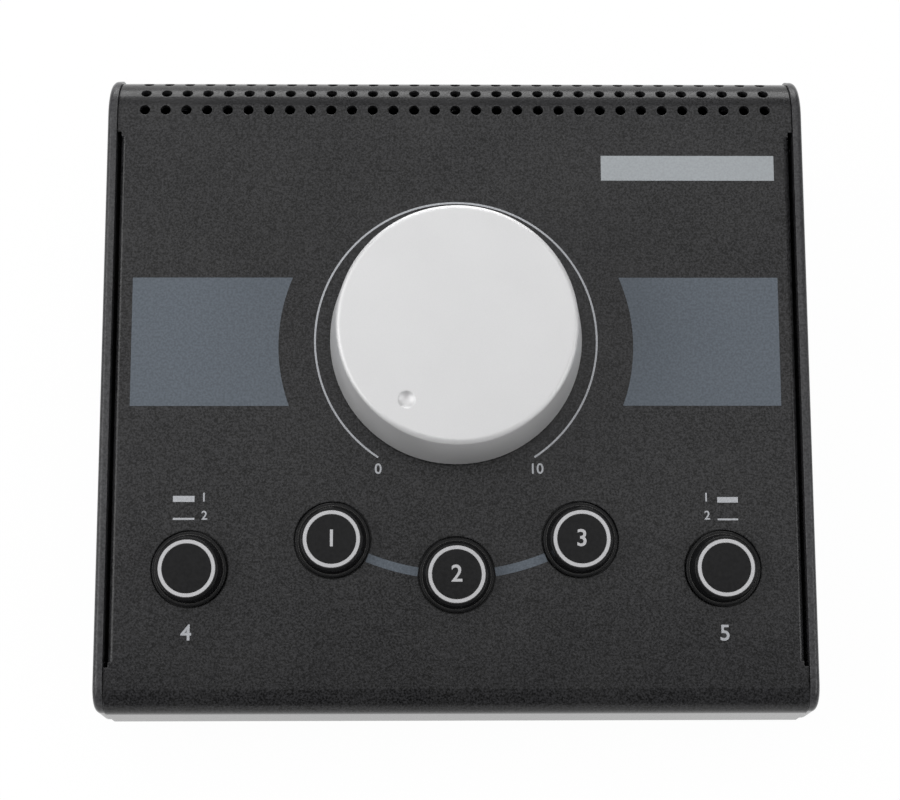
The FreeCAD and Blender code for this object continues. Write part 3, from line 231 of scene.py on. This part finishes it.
def makePaintedSteel(name, look):
    material, tree, shader = newMaterial(name, Specular_IOR_Level=look["specular"])
    coat = useGroup(tree, powderCoat, {
        "Colour": look["colour"], "Grain Per Metre": look["grain"], "Contrast": look["contrast"],
        "Roughness": look["roughness"]})
    worn = useGroup(tree, edgeWearAndHighlight, {"Width": paintShared["edgeWidth"], "Amount": look["wear"]})
    marks = useGroup(tree, handling, {"Strength": look["dust"]})
    colour = mixColour(tree, marks["Dust"], coat["Colour"], dustTone)
    colour = mixColour(tree, worn["Mask"], colour, paintShared["wornTone"])
    rough = calc(tree, "ADD", coat["Roughness"], marks["Roughness Shift"])
    facing = addNode(tree, "LayerWeight", {"Blend": 0.5}).outputs["Facing"]
    gloss = remap(tree, facing, *paintShared["sideFacing"], 1.0, paintShared["sideRoughness"])
    rough = calc(tree, "MULTIPLY", rough, gloss)
    bump = addNode(tree, "Bump", {
        "Strength": paintShared["bumpStrength"], "Distance": look["bump"], "Height": coat["Height"],
        "Normal": worn["Normal"]})
    wire(tree, shader, Base_Color=colour, Roughness=rough, Normal=bump.outputs["Normal"])
    return material


inks = {
    "slateInk": {"colour": (0.087, 0.103, 0.123, 1), "contrast": 0.13, "roughness": 0.5, "bump": 0.000012},
    "greyInk": {"colour": (0.38, 0.39, 0.41, 1), "contrast": 0.06, "roughness": 0.5, "bump": 0.00001},
    "stripInk": {"colour": (0.31, 0.33, 0.345, 1), "contrast": 0.06, "roughness": 0.5, "bump": 0.00001},
    "capInk": {"colour": (0.45, 0.45, 0.46, 1), "contrast": 0.03, "roughness": 0.45, "bump": 0.000004},
}
inkShared = {"grain": 2300.0, "dust": 0.02, "specular": 0.3}


def makeInk(name, look):
    # Screen print has the same kind of grain as the paint under it, only fainter.
    material, tree, shader = newMaterial(name, Specular_IOR_Level=inkShared["specular"])
    coat = useGroup(tree, powderCoat, {
        "Colour": look["colour"], "Grain Per Metre": inkShared["grain"], "Contrast": look["contrast"],
        "Roughness": look["roughness"]})
    marks = useGroup(tree, handling, {"Strength": inkShared["dust"]})
    colour = mixColour(tree, marks["Dust"], coat["Colour"], dustTone)
    bump = addNode(tree, "Bump", {
        "Strength": plainBumpStrength, "Distance": look["bump"], "Height": coat["Height"]})
    wire(tree, shader, Base_Color=colour, Roughness=coat["Roughness"], Normal=bump.outputs["Normal"])
    return material


metals = {
    # The knob's sheen gain of 1.2 paints a brighter sheen on its sides.
    "knobAluminium": {
        "colour": (0.68, 0.68, 0.682, 1), "roughness": 0.59, "grain": 5200.0, "contrast": 0.014,
        "bump": 0.000004, "wear": 0.3, "edge": 0.0004, "paintedSheenGain": 1.2},
    "nickelPlate": {
        "colour": (0.66, 0.64, 0.59, 1), "roughness": 0.22, "grain": 1800.0, "contrast": 0.05,
        "bump": 0.000002, "wear": 0.2, "edge": 0.0002, "paintedSheenGain": 1.0},
    "bareSteel": {
        "colour": (0.55, 0.55, 0.54, 1), "roughness": 0.35, "grain": 2200.0, "contrast": 0.08,
        "bump": 0.000003, "wear": 0.2, "edge": 0.0002, "paintedSheenGain": 1.0},
    "blackSteel": {
        "colour": (0.045, 0.045, 0.048, 1), "roughness": 0.38, "grain": 2600.0, "contrast": 0.15,
        "bump": 0.000003, "wear": 0.5, "edge": 0.00015, "paintedSheenGain": 1.0},
}
# Painted sheen: metal seen from the side has its colour scaled by its sheen gain, between the two sideFacing
# shares.
metalShared = {"brightEdge": (0.85, 0.85, 0.84, 1), "dust": 0.04, "sideFacing": (0.25, 0.75)}


def makeMetal(name, look):
    material, tree, shader = newMaterial(name, Metallic=1.0)
    metal = useGroup(tree, blastedMetal, {
        "Colour": look["colour"], "Grain Per Metre": look["grain"], "Contrast": look["contrast"],
        "Roughness": look["roughness"]})
    worn = useGroup(tree, edgeWearAndHighlight, {"Width": look["edge"], "Amount": look["wear"]})
    marks = useGroup(tree, handling, {"Strength": metalShared["dust"]})
    colour = mixColour(tree, worn["Mask"], metal["Colour"], metalShared["brightEdge"])
    # Painted sheen: the colour is scaled up where the metal is seen from the side, in place of the light it
    # would reflect there.
    facing = addNode(tree, "LayerWeight", {"Blend": 0.5}).outputs["Facing"]
    colour = scaleColour(
        tree, colour, remap(tree, facing, *metalShared["sideFacing"], 1.0, look["paintedSheenGain"]))
    rough = calc(tree, "ADD", metal["Roughness"], marks["Roughness Shift"])
    bump = addNode(tree, "Bump", {
        "Strength": plainBumpStrength, "Distance": look["bump"], "Height": metal["Height"],
        "Normal": worn["Normal"]})
    wire(tree, shader, Base_Color=colour, Roughness=rough, Normal=bump.outputs["Normal"])
    return material


plastics = {
    # On the caps the edge wear is strong and not broken up: it is a painted highlight, an even light rim
    # along the cap's edges.
    "capPlastic": {
        "colour": (0.006, 0.006, 0.0065, 1), "roughness": 0.17, "grain": 1500.0, "contrast": 0.08,
        "bump": 0.000001, "wear": 1.6, "breakup": 0.0, "dust": 0.004, "specular": 0.14},
    "ringPlastic": {
        "colour": (0.46, 0.46, 0.47, 1), "roughness": 0.4, "grain": 1800.0, "contrast": 0.02,
        "bump": 0.000002, "wear": 0.0, "breakup": 700.0, "dust": 0.02, "specular": 0.4},
    "mouldedPlastic": {
        "colour": (0.014, 0.014, 0.015, 1), "roughness": 0.48, "grain": 2400.0, "contrast": 0.2,
        "bump": 0.000012, "wear": 0.15, "breakup": 700.0, "dust": 0.03, "specular": 0.5},
    "footRubber": {
        "colour": (0.012, 0.012, 0.012, 1), "roughness": 0.82, "grain": 1300.0, "contrast": 0.3,
        "bump": 0.00003, "wear": 0.2, "breakup": 700.0, "dust": 0.1, "specular": 0.3},
    "boardGreen": {
        "colour": (0.02, 0.14, 0.06, 1), "roughness": 0.35, "grain": 900.0, "contrast": 0.12,
        "bump": 0.000004, "wear": 0.3, "breakup": 700.0, "dust": 0.02, "specular": 0.5},
    "ribbonGrey": {
        "colour": (0.38, 0.38, 0.39, 1), "roughness": 0.5, "grain": 800.0, "contrast": 0.06,
        "bump": 0.00001, "wear": 0.1, "breakup": 700.0, "dust": 0.02, "specular": 0.4},
}


plasticShared = {"edgeWidth": 0.00015, "marks": 140.0, "wearAndHighlightShare": 0.3}


def makePlastic(name, look):
    material, tree, shader = newMaterial(name, Specular_IOR_Level=look["specular"])
    skin = useGroup(tree, powderCoat, {
        "Colour": look["colour"], "Grain Per Metre": look["grain"], "Contrast": look["contrast"],
        "Roughness": look["roughness"]})
    worn = useGroup(tree, edgeWearAndHighlight, {
        "Width": plasticShared["edgeWidth"], "Amount": look["wear"], "Breakup Per Metre": look["breakup"]})
    marks = useGroup(tree, handling, {"Marks Per Metre": plasticShared["marks"], "Strength": look["dust"]})
    colour = mixColour(tree, marks["Dust"], skin["Colour"], dustTone)
    # The worn edge tone; on the caps it is the colour of the painted rim highlight.
    wornTone = mixColour(tree, plasticShared["wearAndHighlightShare"], skin["Colour"], dustTone)
    colour = mixColour(tree, worn["Mask"], colour, wornTone)
    rough = calc(tree, "ADD", skin["Roughness"], marks["Roughness Shift"])
    bump = addNode(tree, "Bump", {
        "Strength": plainBumpStrength, "Distance": look["bump"], "Height": skin["Height"],
        "Normal": worn["Normal"]})
    wire(tree, shader, Base_Color=colour, Roughness=rough, Normal=bump.outputs["Normal"])
    return material


finish = {}
for recipes, maker in (
        (paintedSteel, makePaintedSteel), (inks, makeInk), (metals, makeMetal), (plastics, makePlastic)):
    for name, look in recipes.items():
        finish[name] = maker(name, look)

slotFinish = {
    "panel_paint": "panelPaint", "cheek_paint": "cheekPaint", "tray_paint": "trayPaint",
    "knob_aluminium": "knobAluminium", "cap_black": "capPlastic", "ring_white": "ringPlastic",
    "moulded_black": "mouldedPlastic", "foot_rubber": "footRubber", "black_steel": "blackSteel",
    "bare_steel": "bareSteel", "nickel": "nickelPlate", "board_green": "boardGreen",
    "ribbon_grey": "ribbonGrey",
}


def dressNodes():
    for part in frame["record"]["subparts"]:
        mesh = nodes[part["node"]].data
        mesh.materials.clear()
        mesh.materials.append(finish[slotFinish[part["material_slot"]]])


dressNodes()
print("stage: materials on the solids")


# Printed marks: thin layers of ink on the panel, in panel millimetres.

printLook = {
    "thickness": 0.03,
    "dialRadius": 28.27, "dialLine": 0.38, "dialOpening": 33.3,
    "fieldOuter": 65.0, "fieldLow": -13.3, "fieldHigh": 12.8, "fieldArc": 35.57, "fieldArcDrop": -0.92,
    "bandRadius": 46.9, "bandWidth": 1.75, "bandAngle": 31.4, "bandClear": 7.65,
    "steps": 96,
}
# The small marks: bars and the strip by left, right, low and high, numbers by words, x, y and height.
# digitShare is a digit's height over the font's size.
markLook = {
    "bars": {
        "left_upper_bar": (-56.0, -51.75, -32.45, -31.25), "left_lower_bar": (-55.95, -51.7, -36.0, -35.6),
        "right_upper_bar": (51.7, 55.8, -32.7, -31.6), "right_lower_bar": (51.7, 55.75, -36.2, -35.85)},
    "nameStrip": (29.6, 64.9, 33.0, 38.2),
    "numbers": {
        "dial_low_number": ("0", -15.5, -26.0, 2.0),
        "dial_high_number": ("10", 15.9, -26.0, 2.0),
        "left_upper_number": ("1", -49.9, -31.6, 1.7),
        "left_lower_number": ("2", -49.75, -35.2, 1.7),
        "right_upper_number": ("1", 49.5, -31.7, 1.7),
        "right_lower_number": ("2", 49.65, -35.3, 1.7),
        "left_select_number": ("4", -52.9, -58.2, 3.0),
        "right_select_number": ("5", 52.6, -58.4, 3.0)},
    "capNumbers": {"mono": "1", "mute": "2", "dim": "3"},
    "capNumberHeight": 3.2,
    "boldness": 0.018, "digitShare": 0.69, "curveSteps": 8,
}


def toPanel(x, y, z):
    return Vector((x * mm, y * mm, z * mm))


def addPiece(name, mesh, material, body="case", place=panelFrame):
    piece = bpy.data.objects.new(name, mesh)
    scene.collection.objects.link(piece)
    mesh.materials.clear()
    mesh.materials.append(finish[material])
    piece.matrix_world = place
    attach(piece, body)


def printStrip(name, sideA, sideB, material):
    # A thin slab on the panel between two lines of the same number of points.
    form = bmesh.new()
    top = printLook["thickness"]
    rows = []
    for a, b in zip(sideA, sideB):
        corners = (a, 0.0), (a, top), (b, top), (b, 0.0)
        rows.append([form.verts.new(toPanel(*point, height)) for point, height in corners])
    for first, second in zip(rows, rows[1:]):
        for corner in range(4):
            nextCorner = (corner + 1) % 4
            form.faces.new((first[corner], second[corner], second[nextCorner], first[nextCorner]))
    form.faces.new(rows[0])
    form.faces.new(list(reversed(rows[-1])))
    bmesh.ops.recalc_face_normals(form, faces=form.faces)
    mesh = bpy.data.meshes.new(name)
    form.to_mesh(mesh)
    form.free()
    addPiece(name, mesh, material)


def arcPoints(radius, start, end):
    # Angles in degrees from straight toward the front, positive to the right.
    points = []
    for step in range(printLook["steps"] + 1):
        angle = math.radians(start + (end - start) * step / printLook["steps"])
        points.append((radius * math.sin(angle), -radius * math.cos(angle)))
    return points


def printRectangle(name, left, right, low, high, material):
    printStrip(name, [(left, low), (right, low)], [(left, high), (right, high)], material)


def printDial():
    inner = printLook["dialRadius"] - printLook["dialLine"] / 2
    outer = printLook["dialRadius"] + printLook["dialLine"] / 2
    start = printLook["dialOpening"]
    printStrip("dial_line", *[arcPoints(radius, start, 360 - start) for radius in (inner, outer)], "greyInk")


def printFields():
    # Two slate fields; the edge toward the knob is an arc.
    low, high = printLook["fieldLow"], printLook["fieldHigh"]
    radius, drop = printLook["fieldArc"], printLook["fieldArcDrop"]
    for side, word in ((-1, "left"), (1, "right")):
        inner, outer = [], []
        for step in range(printLook["steps"] + 1):
            y = low + (high - low) * step / printLook["steps"]
            inner.append((side * math.sqrt(radius ** 2 - (y - drop) ** 2), y))
            outer.append((side * printLook["fieldOuter"], y))
        printStrip(f"{word}_slate_field", inner, outer, "slateInk")


def printBand():
    half = printLook["bandWidth"] / 2
    inner, outer = printLook["bandRadius"] - half, printLook["bandRadius"] + half
    gap = math.degrees(printLook["bandClear"] / printLook["bandRadius"])
    for side, word in ((-1, "left"), (1, "right")):
        start, end = side * gap, side * (printLook["bandAngle"] - gap)
        sides = [arcPoints(radius, start, end) for radius in (inner, outer)]
        printStrip(f"{word}_button_band", *sides, "slateInk")


def printNumber(name, words, x, y, height, material, base=0.0, body="case"):
    # A text curve of the built-in font, made into a thin mesh.
    curve = bpy.data.curves.new(name, "FONT")
    curve.body = words
    curve.align_x = "CENTER"
    curve.align_y = "CENTER"
    curve.size = height / markLook["digitShare"] * mm
    curve.extrude = printLook["thickness"] / 2 * mm
    curve.offset = height * markLook["boldness"] * mm
    curve.resolution_u = markLook["curveSteps"]
    writing = bpy.data.objects.new(name, curve)
    mesh = bpy.data.meshes.new_from_object(writing)
    bpy.data.objects.remove(writing)
    bpy.data.curves.remove(curve)
    lift = base + printLook["thickness"] / 2
    place = panelFrame @ Matrix.Translation(toPanel(x, y, lift))
    addPiece(name, mesh, material, body, place)


def printMarks():
    for name, (left, right, low, high) in markLook["bars"].items():
        printRectangle(name, left, right, low, high, "greyInk")
    printRectangle("name_strip", *markLook["nameStrip"], "stripInk")
    for name, (words, x, y, height) in markLook["numbers"].items():
        printNumber(name, words, x, y, height, "greyInk")


def findPlace(name):
    # A node's middle in panel millimetres, with the height of its top.
    toPlace = panelFrame.inverted() @ nodes[name].matrix_world
    corners = [toPlace @ vertex.co for vertex in nodes[name].data.vertices]
    lows = [min(corner[axis] for corner in corners) / mm for axis in range(3)]
    highs = [max(corner[axis] for corner in corners) / mm for axis in range(3)]
    return (lows[0] + highs[0]) / 2, (lows[1] + highs[1]) / 2, highs[2]


def printCapNumbers():
    for name, words in markLook["capNumbers"].items():
        x, y, top = findPlace(f"{name}_cap")
        height = markLook["capNumberHeight"]
        printNumber(f"{name}_number", words, x, y, height, "capInk", top, f"{name}_button")


printDial()
printFields()
printBand()
printMarks()
printCapNumbers()
print("stage: prints on the panel")


# Floor, light and camera.

studio = {
    "floorSize": 12.0, "floorTone": (0.93, 0.93, 0.93, 1), "backdropShare": 0.97,
    "paperRoughness": 0.9, "worldTone": (0.2, 0.2, 0.205, 1),
    "lamps": {
        "overheadBox": {"place": (0.0, 0.23, 0.8), "aim": (0, 0.23, 0), "size": (1.0, 0.83), "power": 3.2},
        "leftBox": {"place": (-0.62, -0.12, 0.5), "aim": (0, 0, 0.03), "size": (0.8, 0.34), "power": 3.4},
        "rightBox": {"place": (0.62, -0.3, 0.5), "aim": (0, 0, 0.03), "size": (0.7, 0.28), "power": 2.2},
        "rearBox": {"place": (0.0, 0.9, 0.3), "aim": (0, 0, 0.03), "size": (1.0, 0.4), "power": 6.0},
    },
}
photoCamera = {
    "fromKnob": (-0.005044, -0.118395, 0.319953), "turn": (18.292, -0.6049, -0.2233), "lens": 67.986,
    "sensorWidth": 36, "nearest": 0.01,
}


def makeFloor():
    # Pale paper that takes the shadows; what the camera and reflections see of it is mostly plain white.
    half = studio["floorSize"] / 2
    mesh = bpy.data.meshes.new("floor")
    corners = [(-half, -half, 0), (half, -half, 0), (half, half, 0), (-half, half, 0)]
    mesh.from_pydata(corners, [], [(0, 1, 2, 3)])
    floor = bpy.data.objects.new("floor", mesh)
    scene.collection.objects.link(floor)
    material = bpy.data.materials.new("floorPaper")
    material.use_nodes = True
    tree = material.node_tree
    paper = tree.nodes["Principled BSDF"]
    paper.inputs["Base Color"].default_value = studio["floorTone"]
    paper.inputs["Roughness"].default_value = studio["paperRoughness"]
    paper.inputs["Specular IOR Level"].default_value = 0.0
    white = addNode(tree, "Emission", {"Color": (1, 1, 1, 1), "Strength": 1.0})
    rays = addNode(tree, "LightPath").outputs
    seen = calc(tree, "MAXIMUM", calc(tree, "MAXIMUM", rays["Is Camera Ray"], rays["Is Glossy Ray"]),
                rays["Is Transmission Ray"])
    share = calc(tree, "MULTIPLY", seen, studio["backdropShare"])
    blend = addNode(tree, "MixShader", {0: share, 1: paper.outputs[0], 2: white.outputs[0]})
    tree.links.new(blend.outputs[0], tree.nodes["Material Output"].inputs["Surface"])
    mesh.materials.append(material)


def makeLamps():
    for name, lamp in studio["lamps"].items():
        light = bpy.data.lights.new(name, "AREA")
        light.shape = "RECTANGLE"
        light.size, light.size_y = lamp["size"]
        light.energy = lamp["power"]
        holder = bpy.data.objects.new(name, light)
        holder.location = lamp["place"]
        direction = Vector(lamp["aim"]) - Vector(lamp["place"])
        holder.rotation_euler = direction.to_track_quat("-Z", "Y").to_euler()
        scene.collection.objects.link(holder)


def makeWorld():
    world = bpy.data.worlds.new("studio")
    world.use_nodes = True
    world.node_tree.nodes["Background"].inputs["Color"].default_value = studio["worldTone"]
    scene.world = world


def makeCamera():
    camera = bpy.data.objects.new("photoCamera", bpy.data.cameras.new("photoCamera"))
    camera.data.lens = photoCamera["lens"]
    camera.data.sensor_width = photoCamera["sensorWidth"]
    camera.data.clip_start = photoCamera["nearest"]
    camera.location = Vector(volumeTurn["pos_m"]) + Vector(photoCamera["fromKnob"])
    camera.rotation_euler = [math.radians(angle) for angle in photoCamera["turn"]]
    scene.collection.objects.link(camera)
    scene.camera = camera


makeFloor()
makeLamps()
makeWorld()
makeCamera()
scene.view_settings.view_transform = "Standard"
print("stage: floor, light and camera")
